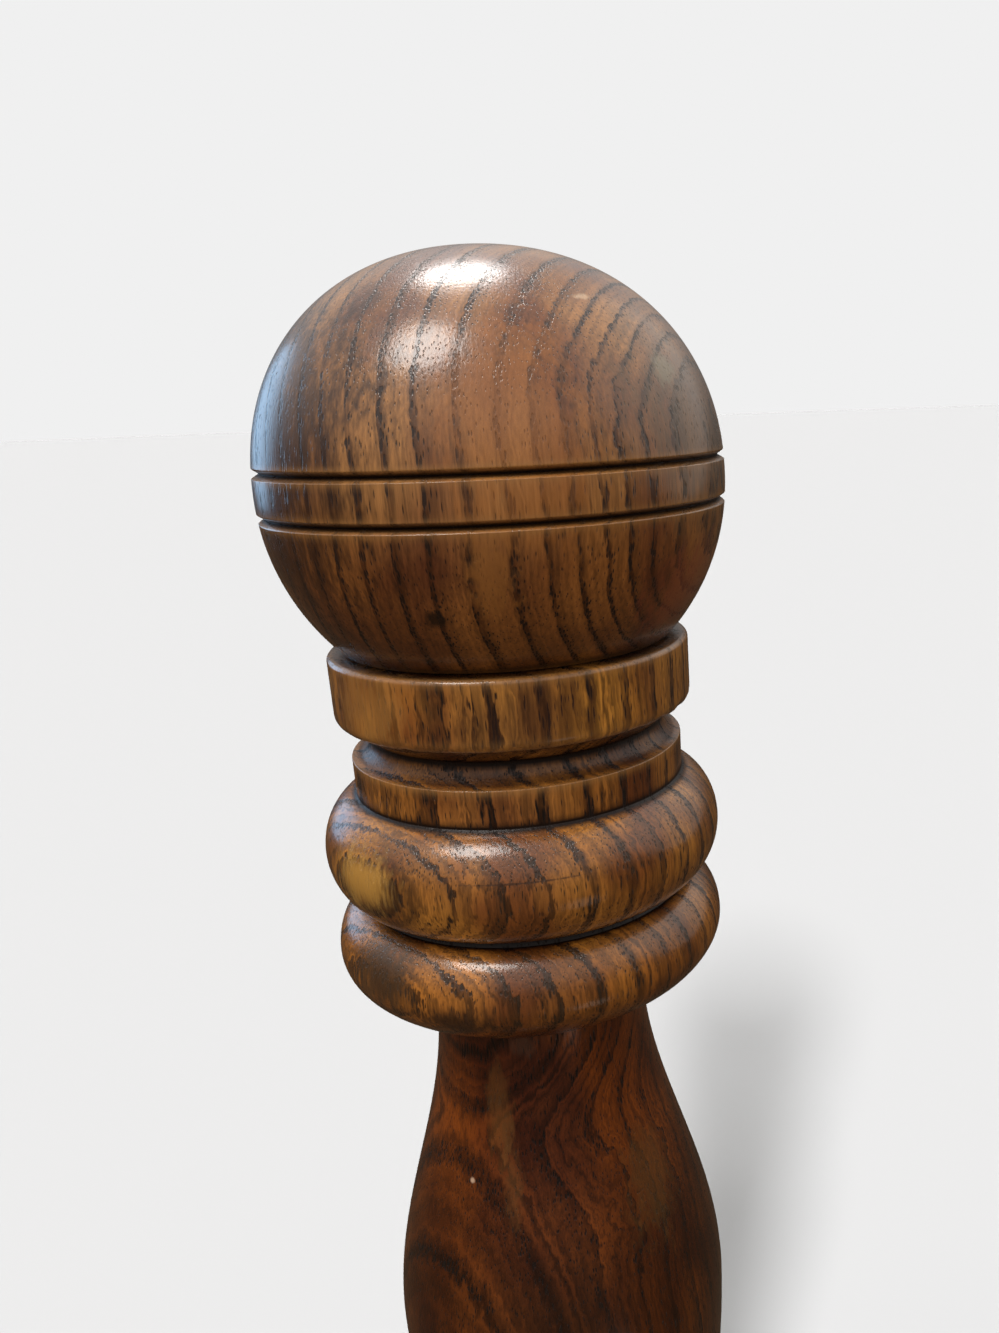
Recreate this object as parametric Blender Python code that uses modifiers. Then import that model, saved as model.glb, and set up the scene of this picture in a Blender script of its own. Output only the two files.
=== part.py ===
"""A turned wood baluster: a ball finial seated on a turned post with a square block at its foot.

Units are metres, +Z is up, and the origin is the middle of the block's underside.
"""
import math

import bmesh
import bpy
from mathutils import Matrix

# Square stock that the post and the ball are both turned from
STOCK_SIDE = 0.0900

# Ball finial, turned by itself: heights are above its flat foot
EQUATOR_HEIGHT = 0.0300
CROWN_HEIGHT = 0.0435
CROWN_FULLNESS = 2.16
FOOT_RADIUS = 0.0328
UPPER_GROOVE_HEIGHT = 0.0348
LOWER_GROOVE_HEIGHT = 0.0267
BALL_GROOVE_WIDTH = 0.0016
BALL_GROOVE_DEPTH = 0.0014

# Glue line between the ball's foot and the post
SEAT_GAP = 0.0003

# Collar that the ball stands on
COLLAR_RADIUS = 0.0363
COLLAR_HEIGHT = 0.0139
COLLAR_CHAMFER = 0.0007
COLLAR_ROUND = 0.0022

# Cove under the collar and the step ring below it
COVE_RADIUS = 0.0302
COVE_HEIGHT = 0.0074
COVE_SWEEP = 0.0043
STEP_RADIUS = 0.0340
STEP_HEIGHT = 0.0075

# Upper torus
TORUS_RADIUS = 0.0414
TORUS_HEIGHT = 0.0232
TORUS_BULGE = 0.0095

# Groove between the two tori
WAIST_DEPTH = 0.0078
WAIST_HEIGHT = 0.0008

# Lower torus, an ovolo whose sloping underside runs in to the neck through a small round
OVOLO_RADIUS = 0.0412
OVOLO_CROWN = 0.0098
OVOLO_DROP = 0.0126
OVOLO_FOOT_RADIUS = 0.0215
UNDERSIDE_DEGREES = 14
NECK_ROUND = 0.0040

# Vase shaft
NECK_RADIUS = 0.0231
NECK_DROP = 0.0037
BELLY_RADIUS = 0.0388
BELLY_DROP = 0.0812
BELLY_FULLNESS = 0.96
ANKLE_RADIUS = 0.0200
ANKLE_DROP = 0.1700
ANKLE_FULLNESS = 0.92

# Ring at the foot of the shaft
FLARE_HEIGHT = 0.0080
LOWER_STEP_RADIUS = 0.0290
LOWER_STEP_HEIGHT = 0.0060
LOWER_TORUS_RADIUS = 0.0370
LOWER_TORUS_HEIGHT = 0.0200
LOWER_TORUS_BULGE = 0.0070
LOWER_WAIST_DEPTH = 0.0040
LOWER_WAIST_HEIGHT = 0.0040

# Square block, full stock wide, whose corners the lathe has rounded at the top
BLOCK_HEIGHT = 0.1200
BLOCK_EDGE_CHAMFER = 0.0012
SHOULDER_INSET = 0.0050
SHOULDER_HEIGHT = 0.0140

# Facets: sides round the axis, and how finely the outline follows its curves
TURNED_SIDES = 48
ARC_STEP_DEGREES = 20
BALL_STEP_DEGREES = 7
SHAFT_STEP = 0.0110

# Degrees by which a curve stops short of level at a crisp edge
ARRIS_DEGREES = 6

# Stained and varnished wood
BALL_COLOUR = (0.118, 0.042, 0.014, 1.0)
POST_COLOUR = (0.165, 0.062, 0.017, 1.0)
VARNISH_ROUGHNESS = 0.28

# The ball is as wide as its stock, and the turned shoulder starts just inside the flats
EQUATOR_RADIUS = STOCK_SIDE / 2
SHOULDER_RADIUS = STOCK_SIDE / 2 - SHOULDER_INSET

# Radii of the two grooves that part the rings
WAIST_RADIUS = TORUS_RADIUS - WAIST_DEPTH
LOWER_WAIST_RADIUS = LOWER_TORUS_RADIUS - LOWER_WAIST_DEPTH

# Heights of the post's parts, added up from the ground
BLOCK_TOP = BLOCK_HEIGHT + SHOULDER_HEIGHT
LOWER_TORUS_FOOT = BLOCK_TOP + LOWER_WAIST_HEIGHT
LOWER_STEP_FOOT = LOWER_TORUS_FOOT + LOWER_TORUS_HEIGHT
LOWER_STEP_TOP = LOWER_STEP_FOOT + LOWER_STEP_HEIGHT
ANKLE_LEVEL = LOWER_STEP_TOP + FLARE_HEIGHT
BELLY_LEVEL = ANKLE_LEVEL + ANKLE_DROP
NECK_LEVEL = BELLY_LEVEL + BELLY_DROP
OVOLO_FOOT = NECK_LEVEL + NECK_DROP
OVOLO_LEVEL = OVOLO_FOOT + OVOLO_DROP
WAIST_FOOT = OVOLO_LEVEL + OVOLO_CROWN
TORUS_FOOT = WAIST_FOOT + WAIST_HEIGHT
STEP_FOOT = TORUS_FOOT + TORUS_HEIGHT
STEP_TOP = STEP_FOOT + STEP_HEIGHT
COLLAR_FOOT = STEP_TOP + COVE_HEIGHT
POST_TOP = COLLAR_FOOT + COLLAR_HEIGHT
BALL_FOOT = POST_TOP + SEAT_GAP


def clear_scene():
    """Removes every object that the file opened with."""
    for obj in list(bpy.data.objects):
        bpy.data.objects.remove(obj, do_unlink=True)


def new_collection(name):
    """Makes a collection in the scene."""
    collection = bpy.data.collections.new(name)
    bpy.context.scene.collection.children.link(collection)
    return collection


def wood(name, colour):
    """Stained wood under a clear varnish."""
    material = bpy.data.materials.new(name)
    material.use_nodes = True
    shader = material.node_tree.nodes["Principled BSDF"]
    shader.inputs["Base Color"].default_value = colour
    shader.inputs["Roughness"].default_value = VARNISH_ROUGHNESS
    shader.inputs["Metallic"].default_value = 0.0
    return material


def ellipse_arc(centre_r, centre_z, semi_r, semi_z, start, end):
    """Points on an ellipse from angle start to angle end, in degrees; 90 is up and 0 is outwards."""
    steps = max(2, round(abs(end - start) / ARC_STEP_DEGREES))
    points = []
    for i in range(steps + 1):
        angle = math.radians(start + (end - start) * i / steps)
        r = centre_r + semi_r * math.cos(angle)
        z = centre_z + semi_z * math.sin(angle)
        points.append((r, z))
    return points


def angle_at(radius, centre_r, semi_r):
    """Angle in degrees at which an ellipse reaches a radius."""
    return math.degrees(math.acos((radius - centre_r) / semi_r))


def swell(level, wide_level, narrow_level, wide, narrow, fullness):
    """Radius of the shaft between its widest level and a narrow one, along an S-shaped curve."""
    t = abs(level - wide_level) / abs(narrow_level - wide_level)
    return narrow + (wide - narrow) * (1 + math.cos(math.pi * t**fullness)) / 2


def shaft_curve(wide_level, narrow_level, wide, narrow, fullness):
    """Points of the shaft below a starting level, down one of its S-shaped curves."""
    upper, lower = max(wide_level, narrow_level), min(wide_level, narrow_level)
    steps = max(2, round((upper - lower) / SHAFT_STEP))
    points = []
    for i in range(1, steps + 1):
        level = upper + (lower - upper) * i / steps
        radius = swell(level, wide_level, narrow_level, wide, narrow, fullness)
        points.append((radius, level))
    return points


def lower_semi_height():
    """Semi-height of the ellipse that the ball follows from its equator down to its foot."""
    return EQUATOR_HEIGHT / math.sqrt(1 - (FOOT_RADIUS / EQUATOR_RADIUS) ** 2)


def ball_radius(height):
    """Radius of the ball at a height above its foot; the crown's shoulders are fuller than a circle."""
    if height > EQUATOR_HEIGHT:
        part = (height - EQUATOR_HEIGHT) / CROWN_HEIGHT
        return EQUATOR_RADIUS * (1 - part**CROWN_FULLNESS) ** (1 / CROWN_FULLNESS)
    part = (EQUATOR_HEIGHT - height) / lower_semi_height()
    return EQUATOR_RADIUS * math.sqrt(1 - part**2)


def cut_groove(height):
    """V groove in the ball, as three points down its outline."""
    top = height + BALL_GROOVE_WIDTH / 2
    bottom = height - BALL_GROOVE_WIDTH / 2
    return [
        (ball_radius(top), top),
        (ball_radius(height) - BALL_GROOVE_DEPTH, height),
        (ball_radius(bottom), bottom),
    ]


def ball_stretch(upper_rise, lower_rise, semi_height):
    """Points of the ball from below one rise above the equator down to another, evenly spaced by angle."""
    start = math.asin(upper_rise / semi_height)
    end = math.asin(lower_rise / semi_height)
    steps = max(2, round(math.degrees(start - end) / BALL_STEP_DEGREES))
    points = []
    for i in range(1, steps + 1):
        height = EQUATOR_HEIGHT + semi_height * math.sin(start + (end - start) * i / steps)
        points.append((ball_radius(height), height))
    return points


def ball_outline():
    """Outline of the ball finial, from its crown down to the middle of its foot."""
    upper_lip = UPPER_GROOVE_HEIGHT + BALL_GROOVE_WIDTH / 2
    lower_lip = LOWER_GROOVE_HEIGHT - BALL_GROOVE_WIDTH / 2
    band_middle = (UPPER_GROOVE_HEIGHT + LOWER_GROOVE_HEIGHT) / 2
    outline = [(0.0, EQUATOR_HEIGHT + CROWN_HEIGHT)]
    outline += ball_stretch(CROWN_HEIGHT, upper_lip - EQUATOR_HEIGHT, CROWN_HEIGHT)[:-1]
    outline += cut_groove(UPPER_GROOVE_HEIGHT)
    outline.append((ball_radius(band_middle), band_middle))
    outline += cut_groove(LOWER_GROOVE_HEIGHT)
    outline += ball_stretch(lower_lip - EQUATOR_HEIGHT, -EQUATOR_HEIGHT, lower_semi_height())
    outline.append((0.0, 0.0))
    return outline


def collar_outline():
    """Outline of the post's flat top, the collar, the cove under it and the step ring."""
    outline = [(0.0, POST_TOP), (COLLAR_RADIUS - COLLAR_CHAMFER, POST_TOP)]
    outline.append((COLLAR_RADIUS, POST_TOP - COLLAR_CHAMFER))
    round_r = COLLAR_RADIUS - COLLAR_ROUND
    round_z = COLLAR_FOOT + COLLAR_ROUND
    outline += ellipse_arc(round_r, round_z, COLLAR_ROUND, COLLAR_ROUND, 0, -90)
    outline.append((COVE_RADIUS, COLLAR_FOOT))
    cove_depth = STEP_RADIUS - COVE_RADIUS
    cove_end = 270 - ARRIS_DEGREES
    outline += ellipse_arc(STEP_RADIUS, STEP_TOP + COVE_SWEEP, cove_depth, COVE_SWEEP, 180, cove_end)
    outline += [(STEP_RADIUS, STEP_TOP), (STEP_RADIUS, STEP_FOOT)]
    return outline


def tori_outline():
    """Outline of the upper torus, the groove under it and the ovolo, down to the neck."""
    centre = TORUS_RADIUS - TORUS_BULGE
    middle = (STEP_FOOT + TORUS_FOOT) / 2
    start = angle_at(STEP_RADIUS, centre, TORUS_BULGE)
    end = -angle_at(WAIST_RADIUS, centre, TORUS_BULGE)
    outline = ellipse_arc(centre, middle, TORUS_BULGE, TORUS_HEIGHT / 2, start, end)[1:]
    level = 90 - ARRIS_DEGREES
    bulge = OVOLO_RADIUS - WAIST_RADIUS
    outline += ellipse_arc(WAIST_RADIUS, OVOLO_LEVEL, bulge, OVOLO_CROWN, level, 0)
    bulge = OVOLO_RADIUS - OVOLO_FOOT_RADIUS
    end = UNDERSIDE_DEGREES - 90
    outline += ellipse_arc(OVOLO_FOOT_RADIUS, OVOLO_LEVEL, bulge, OVOLO_DROP, 0, end)[1:]
    start = UNDERSIDE_DEGREES + 90
    outline += ellipse_arc(NECK_RADIUS + NECK_ROUND, NECK_LEVEL, NECK_ROUND, NECK_ROUND, start, 180)
    return outline


def shaft_outline():
    """Outline of the vase shaft from just under the neck down to the ankle."""
    belly = shaft_curve(BELLY_LEVEL, NECK_LEVEL, BELLY_RADIUS, NECK_RADIUS, BELLY_FULLNESS)
    taper = shaft_curve(BELLY_LEVEL, ANKLE_LEVEL, BELLY_RADIUS, ANKLE_RADIUS, ANKLE_FULLNESS)
    return belly + taper


def foot_outline():
    """Outline of the lower ring, the turned shoulder and the round foot whose flats clear the block."""
    flare = LOWER_STEP_RADIUS - ANKLE_RADIUS
    flare_end = 270 - ARRIS_DEGREES
    outline = ellipse_arc(LOWER_STEP_RADIUS, ANKLE_LEVEL, flare, FLARE_HEIGHT, 180, flare_end)[1:]
    outline += [(LOWER_STEP_RADIUS, LOWER_STEP_TOP), (LOWER_STEP_RADIUS, LOWER_STEP_FOOT)]
    centre = LOWER_TORUS_RADIUS - LOWER_TORUS_BULGE
    middle = (LOWER_STEP_FOOT + LOWER_TORUS_FOOT) / 2
    end = -angle_at(LOWER_WAIST_RADIUS, centre, LOWER_TORUS_BULGE)
    outline += ellipse_arc(centre, middle, LOWER_TORUS_BULGE, LOWER_TORUS_HEIGHT / 2, 90, end)
    outline.append((LOWER_WAIST_RADIUS, BLOCK_TOP))
    corner_radius = STOCK_SIDE / math.sqrt(2) / math.cos(math.pi / TURNED_SIDES)
    reach = corner_radius - SHOULDER_RADIUS
    outline += ellipse_arc(SHOULDER_RADIUS, BLOCK_HEIGHT, reach, SHOULDER_HEIGHT, 90, 0)
    outline += [(corner_radius, 0.0), (0.0, 0.0)]
    return outline


def turn(name, outline, material, collection):
    """Turns an outline about the Z axis into a closed solid of its own."""
    mesh = bpy.data.meshes.new(name)
    edges = [(i, i + 1) for i in range(len(outline) - 1)]
    mesh.from_pydata([(r, 0.0, z) for r, z in outline], edges, [])
    obj = bpy.data.objects.new(name, mesh)
    collection.objects.link(obj)
    obj.data.materials.append(material)
    screw = obj.modifiers.new("Lathe", "SCREW")
    screw.axis = "Z"
    screw.angle = math.radians(360)
    screw.steps = TURNED_SIDES
    screw.render_steps = TURNED_SIDES
    screw.use_merge_vertices = True
    screw.merge_threshold = 0.00005
    screw.use_smooth_shade = True
    return obj


def widen_up(bm, factor, rise):
    """Extrudes the highest face upwards, and widens it by a factor on the way."""
    top = max(bm.faces, key=lambda face: face.calc_center_median().z)
    raised = bmesh.ops.extrude_discrete_faces(bm, faces=[top])["faces"][0]
    bmesh.ops.scale(bm, vec=(factor, factor, 1.0), verts=raised.verts)
    bmesh.ops.translate(bm, vec=(0.0, 0.0, rise), verts=raised.verts)


def square_stock(outline, collection):
    """The sawn square that is left at the foot: from the lower waist up it stands clear of the turning."""
    waist_level = BLOCK_TOP + LOWER_WAIST_HEIGHT / 2
    size = Matrix.Diagonal((STOCK_SIDE, STOCK_SIDE, waist_level, 1.0))
    bm = bmesh.new()
    bmesh.ops.create_cube(bm, size=1.0, matrix=Matrix.Translation((0.0, 0.0, waist_level / 2)) @ size)
    sawn_edges = [edge for edge in bm.edges if min(v.co.z for v in edge.verts) < BLOCK_EDGE_CHAMFER]
    bmesh.ops.bevel(bm, geom=sawn_edges, offset=BLOCK_EDGE_CHAMFER, segments=1, affect="EDGES")
    widest = max(radius for radius, level in outline)
    widen_up(bm, 4 * widest / STOCK_SIDE, LOWER_WAIST_HEIGHT / 2)
    widen_up(bm, 1.0, POST_TOP)
    mesh = bpy.data.meshes.new("square_stock")
    bm.to_mesh(mesh)
    bm.free()
    stock = bpy.data.objects.new("square_stock", mesh)
    collection.objects.link(stock)
    stock.hide_render = True
    stock.display_type = "WIRE"
    return stock


def build():
    """Makes the ball finial and the post."""
    clear_scene()
    parts = new_collection("turned_wood_baluster")
    cutters = new_collection("cutters")
    ball = turn("ball_finial", ball_outline(), wood("ball_wood", BALL_COLOUR), parts)
    ball.location.z = BALL_FOOT
    post_outline = collar_outline() + tori_outline() + shaft_outline() + foot_outline()
    post = turn("turned_post", post_outline, wood("post_wood", POST_COLOUR), parts)
    keep = post.modifiers.new("Block", "BOOLEAN")
    keep.operation = "INTERSECT"
    keep.solver = "EXACT"
    keep.object = square_stock(post_outline, cutters)


build()
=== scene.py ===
"""The looks of the turned wood baluster: finely turned wood under gloss varnish, in a plain studio."""
import math

import bpy
import numpy as np
from mathutils import Matrix, Vector, noise


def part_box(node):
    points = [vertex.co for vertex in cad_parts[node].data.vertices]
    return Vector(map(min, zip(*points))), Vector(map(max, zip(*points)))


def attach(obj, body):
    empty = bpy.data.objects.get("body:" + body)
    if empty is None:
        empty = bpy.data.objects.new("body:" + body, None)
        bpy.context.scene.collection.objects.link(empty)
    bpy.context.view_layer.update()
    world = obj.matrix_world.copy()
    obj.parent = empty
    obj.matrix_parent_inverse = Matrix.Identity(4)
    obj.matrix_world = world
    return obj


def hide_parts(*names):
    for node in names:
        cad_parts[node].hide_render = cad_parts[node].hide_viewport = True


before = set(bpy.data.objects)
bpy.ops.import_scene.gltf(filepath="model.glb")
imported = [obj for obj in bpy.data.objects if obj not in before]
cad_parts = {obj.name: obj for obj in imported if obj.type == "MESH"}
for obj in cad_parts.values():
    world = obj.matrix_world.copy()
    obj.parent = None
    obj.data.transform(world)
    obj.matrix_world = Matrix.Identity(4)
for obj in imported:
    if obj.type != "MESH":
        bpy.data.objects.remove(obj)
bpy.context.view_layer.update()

# Turned post: one length of ring-porous wood such as ash, turned on a lathe from square stock,
# stained brown and varnished. The square block at its foot is what the lathe left; the photograph
# shows the post down to the widest part of the vase, and the plainer rest follows the same style.
# Sizes are in millimetres.
MM = 0.001
post_low, post_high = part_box("turned_post")
POST_TOP = post_high.z / MM
HALF_SIDE = post_high.x / MM

COLLAR_RADIUS = 36.3
COLLAR_HEIGHT = 13.9
COLLAR_CHAMFER = 0.7
COLLAR_ROUND = 2.2
COVE_RADIUS = 30.2
COVE_HEIGHT = 7.4
COVE_SWEEP = 4.3
STEP_RADIUS = 34.0
STEP_HEIGHT = 7.5
TORUS_RADIUS = 41.4
TORUS_HEIGHT = 23.2
TORUS_BULGE = 9.5
WAIST_DEPTH = 7.8
WAIST_HEIGHT = 0.8
OVOLO_RADIUS = 41.2
OVOLO_CROWN = 9.8
OVOLO_DROP = 12.6
OVOLO_FOOT_RADIUS = 21.5
UNDERSIDE_DEGREES = 14
NECK_ROUND = 4.0
NECK_RADIUS = 23.1
NECK_DROP = 3.7
BELLY_RADIUS = 38.8
BELLY_DROP = 81.2
BELLY_FULLNESS = 0.96
ANKLE_RADIUS = 20.0
ANKLE_DROP = 170.0
ANKLE_FULLNESS = 0.92
FLARE_HEIGHT = 8.0
LOWER_STEP_RADIUS = 29.0
LOWER_STEP_HEIGHT = 6.0
LOWER_TORUS_RADIUS = 37.0
LOWER_TORUS_HEIGHT = 20.0
LOWER_TORUS_BULGE = 7.0
LOWER_WAIST_DEPTH = 4.0
SHOULDER_RADIUS = 40.0
SHOULDER_HEIGHT = 14.0
BLOCK_HEIGHT = 120.0
BLOCK_ARRIS_ROUND = 1.8

COLLAR_FOOT = POST_TOP - COLLAR_HEIGHT
STEP_TOP = COLLAR_FOOT - COVE_HEIGHT
STEP_FOOT = STEP_TOP - STEP_HEIGHT
TORUS_FOOT = STEP_FOOT - TORUS_HEIGHT
OVOLO_LEVEL = TORUS_FOOT - WAIST_HEIGHT - OVOLO_CROWN
NECK_LEVEL = OVOLO_LEVEL - OVOLO_DROP - NECK_DROP
BELLY_LEVEL = NECK_LEVEL - BELLY_DROP
ANKLE_LEVEL = BELLY_LEVEL - ANKLE_DROP
LOWER_STEP_TOP = ANKLE_LEVEL - FLARE_HEIGHT
LOWER_STEP_FOOT = LOWER_STEP_TOP - LOWER_STEP_HEIGHT
LOWER_TORUS_FOOT = LOWER_STEP_FOOT - LOWER_TORUS_HEIGHT
BLOCK_TOP = BLOCK_HEIGHT + SHOULDER_HEIGHT

# Outlines are drawn this finely. Sanding eases every corner that bends more than so many degrees,
# but reaches only a part as far into a hollow one.
FINE_STEP = 0.85
SHAFT_STEP = 2.2
SHARP_BEND = 22
POST_CORNER_EASE = 0.4
HOLLOW_SHARE = 0.25


def arc(centre_r, centre_z, semi_r, semi_z, start, end):
    """Points along an ellipse from one angle to another, in degrees; 90 is up and 0 is outwards."""
    length = math.radians(abs(end - start)) * (semi_r + semi_z) / 2
    steps = max(3, math.ceil(length / FINE_STEP))
    angles = np.radians(np.linspace(start, end, steps + 1))
    return [(centre_r + semi_r * math.cos(a), centre_z + semi_z * math.sin(a)) for a in angles]


def angle_at(radius, centre_r, semi_r):
    """Angle in degrees at which an ellipse reaches a radius."""
    return math.degrees(math.acos((radius - centre_r) / semi_r))


def swelling(upper, lower, wide_level, narrow_level, wide, narrow, fullness):
    """Points down one of the shaft's S-shaped curves, below its upper level."""
    steps = round((upper - lower) / SHAFT_STEP)
    levels = np.linspace(upper, lower, steps + 1)[1:]
    part = np.abs(levels - wide_level) / abs(narrow_level - wide_level)
    radii = narrow + (wide - narrow) * (1 + np.cos(np.pi * part**fullness)) / 2
    return list(zip(radii, levels))


def collar_and_step():
    """Outline from the middle of the flat top, round the collar and the cove, to the step's foot."""
    outline = [(0.0, POST_TOP), (COLLAR_RADIUS - COLLAR_CHAMFER, POST_TOP)]
    outline.append((COLLAR_RADIUS, POST_TOP - COLLAR_CHAMFER))
    centre = COLLAR_RADIUS - COLLAR_ROUND
    outline += arc(centre, COLLAR_FOOT + COLLAR_ROUND, COLLAR_ROUND, COLLAR_ROUND, 0, -90)
    outline += arc(STEP_RADIUS, STEP_TOP + COVE_SWEEP, STEP_RADIUS - COVE_RADIUS, COVE_SWEEP, 180, 266)
    return outline + [(STEP_RADIUS, STEP_TOP), (STEP_RADIUS, STEP_FOOT)]


def torus_and_ovolo():
    """Outline of the two big rings, down to the round of the neck."""
    centre = TORUS_RADIUS - TORUS_BULGE
    waist = TORUS_RADIUS - WAIST_DEPTH
    start = angle_at(STEP_RADIUS, centre, TORUS_BULGE)
    end = -angle_at(waist, centre, TORUS_BULGE)
    outline = arc(centre, (STEP_FOOT + TORUS_FOOT) / 2, TORUS_BULGE, TORUS_HEIGHT / 2, start, end)[1:]
    outline += arc(waist, OVOLO_LEVEL, OVOLO_RADIUS - waist, OVOLO_CROWN, 86, 0)
    bulge = OVOLO_RADIUS - OVOLO_FOOT_RADIUS
    end = UNDERSIDE_DEGREES - 90
    outline += arc(OVOLO_FOOT_RADIUS, OVOLO_LEVEL, bulge, OVOLO_DROP, 0, end)[1:]
    start = UNDERSIDE_DEGREES + 90
    return outline + arc(NECK_RADIUS + NECK_ROUND, NECK_LEVEL, NECK_ROUND, NECK_ROUND, start, 180)


def shaft_and_lower_ring():
    """Outline of the vase shaft, the ring at its foot and the flat round the top of the shoulder."""
    upper = (NECK_LEVEL, BELLY_LEVEL, BELLY_LEVEL, NECK_LEVEL, BELLY_RADIUS, NECK_RADIUS)
    lower = (BELLY_LEVEL, ANKLE_LEVEL, BELLY_LEVEL, ANKLE_LEVEL, BELLY_RADIUS, ANKLE_RADIUS)
    outline = swelling(*upper, BELLY_FULLNESS) + swelling(*lower, ANKLE_FULLNESS)
    flare = LOWER_STEP_RADIUS - ANKLE_RADIUS
    outline += arc(LOWER_STEP_RADIUS, ANKLE_LEVEL, flare, FLARE_HEIGHT, 180, 264)[1:]
    outline += [(LOWER_STEP_RADIUS, LOWER_STEP_TOP), (LOWER_STEP_RADIUS, LOWER_STEP_FOOT)]
    centre = LOWER_TORUS_RADIUS - LOWER_TORUS_BULGE
    middle = (LOWER_STEP_FOOT + LOWER_TORUS_FOOT) / 2
    waist = LOWER_TORUS_RADIUS - LOWER_WAIST_DEPTH
    end = -angle_at(waist, centre, LOWER_TORUS_BULGE)
    outline += arc(centre, middle, LOWER_TORUS_BULGE, LOWER_TORUS_HEIGHT / 2, 90, end)
    return outline + [(waist, BLOCK_TOP), (SHOULDER_RADIUS, BLOCK_TOP)]


def ease_corners(outline, reach):
    """Rounds the sharp corners of an outline over a small reach, as sanding leaves them."""
    eased = [outline[0]]
    for before, corner, after in zip(outline, outline[1:], outline[2:]):
        corner = np.array(corner)
        back, ahead = np.array(before) - corner, np.array(after) - corner
        back_length, ahead_length = np.linalg.norm(back), np.linalg.norm(ahead)
        bend = math.degrees(math.acos(np.clip(-back @ ahead / back_length / ahead_length, -1, 1)))
        if bend < SHARP_BEND:
            eased.append(tuple(corner))
            continue
        hollow_corner = back[0] * ahead[1] - back[1] * ahead[0] < 0
        eased_reach = reach * HOLLOW_SHARE if hollow_corner else reach
        start = corner + back / back_length * min(eased_reach, 0.45 * back_length)
        end = corner + ahead / ahead_length * min(eased_reach, 0.45 * ahead_length)
        for t in (0.0, 0.25, 0.5, 0.75, 1.0):
            eased.append(tuple((1 - t) ** 2 * start + 2 * t * (1 - t) * corner + t * t * end))
    eased.append(outline[-1])
    return eased


def divide(outline, step):
    """Divides the long straight runs of an outline."""
    divided = [outline[0]]
    for start, end in zip(outline, outline[1:]):
        parts = max(1, round(math.dist(start, end) / step))
        for i in range(1, parts + 1):
            divided.append(tuple(np.array(start) + (np.array(end) - np.array(start)) * i / parts))
    return divided


def rounded_square_reach(angles, half_side, corner_round):
    """Distance from the axis to a square with rounded corners, in each direction."""
    across, along = np.abs(np.cos(angles)), np.abs(np.sin(angles))
    flat = half_side / np.maximum(across, along)
    corner = half_side - corner_round
    b = corner * (across + along)
    round_reach = b + np.sqrt(np.maximum(b * b - 2 * corner * corner + corner_round**2, 0))
    on_corner = flat * np.minimum(across, along) > corner
    return np.where(on_corner, round_reach, flat)


def bend_of_outline(radii, levels, reach):
    """How hollow (positive) or proud (negative) an outline is at each point, seen over a reach."""
    points = np.column_stack([radii, levels])
    along = np.concatenate([[0], np.cumsum(np.linalg.norm(np.diff(points, axis=0), axis=1))])
    sides = []
    for shift in (-reach, reach):
        moved = [np.interp(along + shift, along, points[:, k]) for k in (0, 1)]
        sides.append(np.column_stack(moved))
    run = sides[1] - sides[0]
    run_length = np.maximum(np.linalg.norm(run, axis=1, keepdims=True), 1e-9)
    outwards = np.column_stack([-run[:, 1], run[:, 0]]) / run_length
    return np.sum(((sides[0] + sides[1]) / 2 - points) * outwards, axis=1) / reach


def hand_turned(radii, levels, angles, size, depth, seed):
    """Uneven depth of a hand-held gouge and of sanding, as a grid of small changes of radius."""
    change = np.zeros_like(radii)
    for i in range(radii.shape[0]):
        for j in range(radii.shape[1]):
            r = radii[i, j]
            place = Vector((r * math.cos(angles[j]), r * math.sin(angles[j]), levels[i, j] * 0.7))
            change[i, j] = noise.noise(place / size + Vector((seed, 0, 0)))
    return change * depth


def turned_mesh(name, radii, levels, angles, hollow):
    """A closed mesh from grids of radii and levels: a row of the grid a level and a column an angle.
    Each point also keeps how hollow or proud the outline is there, for the stain and painted shade in the
    hollows and the wear and painted highlight on the arrises."""
    rows, columns = radii.shape
    verts = np.stack([radii * np.cos(angles), radii * np.sin(angles), levels], axis=-1).reshape(-1, 3)
    top, foot = len(verts), len(verts) + 1
    verts = np.vstack([verts, [0, 0, levels[0].mean()], [0, 0, levels[-1].mean()]]) * MM
    faces = []
    for j in range(columns):
        k = (j + 1) % columns
        faces.append((top, j, k))
        for i in range(rows - 1):
            upper, lower = i * columns, (i + 1) * columns
            faces.append((upper + j, lower + j, lower + k, upper + k))
        faces.append(((rows - 1) * columns + j, foot, (rows - 1) * columns + k))
    mesh = bpy.data.meshes.new(name)
    mesh.from_pydata(verts, [], faces)
    mesh.polygons.foreach_set("use_smooth", [True] * len(faces))
    for attribute, values in (("hollow", np.maximum(hollow, 0)), ("proud", np.maximum(-hollow, 0))):
        layer = mesh.attributes.new(attribute, "FLOAT", "POINT")
        layer.data.foreach_set("value", np.append(np.repeat(values, columns), [0.0, 0.0]))
    mesh.update()
    obj = bpy.data.objects.new(name, mesh)
    bpy.context.scene.collection.objects.link(obj)
    return obj


# Extra columns of points, in degrees, stand beside each arris of the block to keep it crisp
POST_SIDES = 192
BESIDE_ARRIS = (-1.25, -0.8, -0.4, 0.4, 0.8, 1.25)

post_angles = list(np.linspace(0, 2 * math.pi, POST_SIDES, endpoint=False))
for quarter in range(4):
    diagonal = math.radians(45 + 90 * quarter)
    post_angles += [diagonal + math.radians(d) for d in BESIDE_ARRIS]
post_angles = np.array(sorted(post_angles))

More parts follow.
